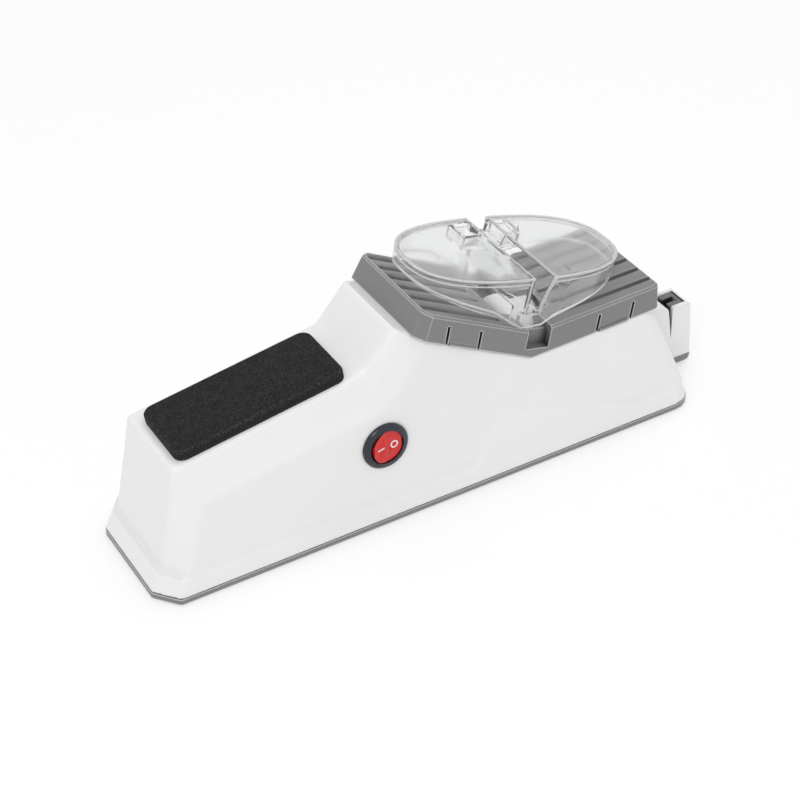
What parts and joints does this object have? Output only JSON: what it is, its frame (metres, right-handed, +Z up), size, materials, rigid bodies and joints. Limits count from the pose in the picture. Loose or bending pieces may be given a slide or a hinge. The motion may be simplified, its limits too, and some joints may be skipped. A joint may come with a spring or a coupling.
{
  "type": "electric knife sharpener",
  "caption": "Long wedge housing with a padded handle, tilted V guide cap over a grinding wheel, clear slotted dust cover and hand sharpening groove at the end.",
  "frame": {"origin": "centre of the outline seen from above, on the plane of the feet", "axes": "+Z up, +X along the length from the handle to the hand sharpening groove, -Y to the side with the switch"},
  "size_m": [0.2506, 0.058, 0.0943],
  "materials": {
    "white_body": "glossy",
    "grey_plastic": "satin",
    "dark_plastic": "satin",
    "foam": "fine grained",
    "rubber": "matte",
    "clear_plastic": "clear",
    "abrasive": "gritty",
    "ceramic": "ground",
    "aluminium": "turned",
    "steel": "satin",
    "iron": "matte",
    "brass": "satin",
    "black_plastic": "glossy",
    "red_plastic": "translucent",
    "wire": "satin"
  },
  "bodies": {
    "body": {"upper_housing": "white_body", "base_plate": "grey_plastic", "rubber_feet": "rubber", "grip_pad": "foam", "guide_cap": "grey_plastic", "motor_can": "steel", "motor_magnets": "iron", "motor_end_cap": "black_plastic", "motor_bushes": "brass", "motor_terminals": "brass", "motor_cradle": "white_body", "motor_strap": "steel", "strap_screws": "steel", "dust_chamber": "white_body", "switch_body": "black_plastic", "switch_terminals": "brass", "dc_jack": "black_plastic", "jack_terminals": "brass", "wire_harness": "wire", "base_screws": "steel", "hand_housing": "white_body", "hand_insert": "dark_plastic", "hand_base": "grey_plastic", "hand_blades": "ceramic", "hand_screws": "steel"},
    "rotor": {"grinding_wheel": "abrasive", "wheel_arbor": "aluminium", "wheel_washer": "steel", "wheel_nut": "steel", "motor_shaft": "steel", "motor_armature": "iron", "commutator": "brass"},
    "rocker": {"switch_rocker": "red_plastic"},
    "cover": {"dust_cover": "clear_plastic"}
  },
  "joints": [
    {"name": "wheel_spin", "type": "hinge", "parent": "body", "child": "rotor", "pos_m": [0.03767, 0, 0.04762], "axis": [0.9728, 0, -0.2317], "continuous": true},
    {"name": "rocker_tilt", "type": "hinge", "parent": "body", "child": "rocker", "pos_m": [-0.0318, -0.02487, 0.03536], "axis": [0, 0.0678, 0.9977], "range_deg": [-14, 0]},
    {"name": "cover_lift", "type": "slide", "parent": "body", "child": "cover", "axis": [0.2317, 0, 0.9728], "range_m": [0, 0.06]}
  ]
}
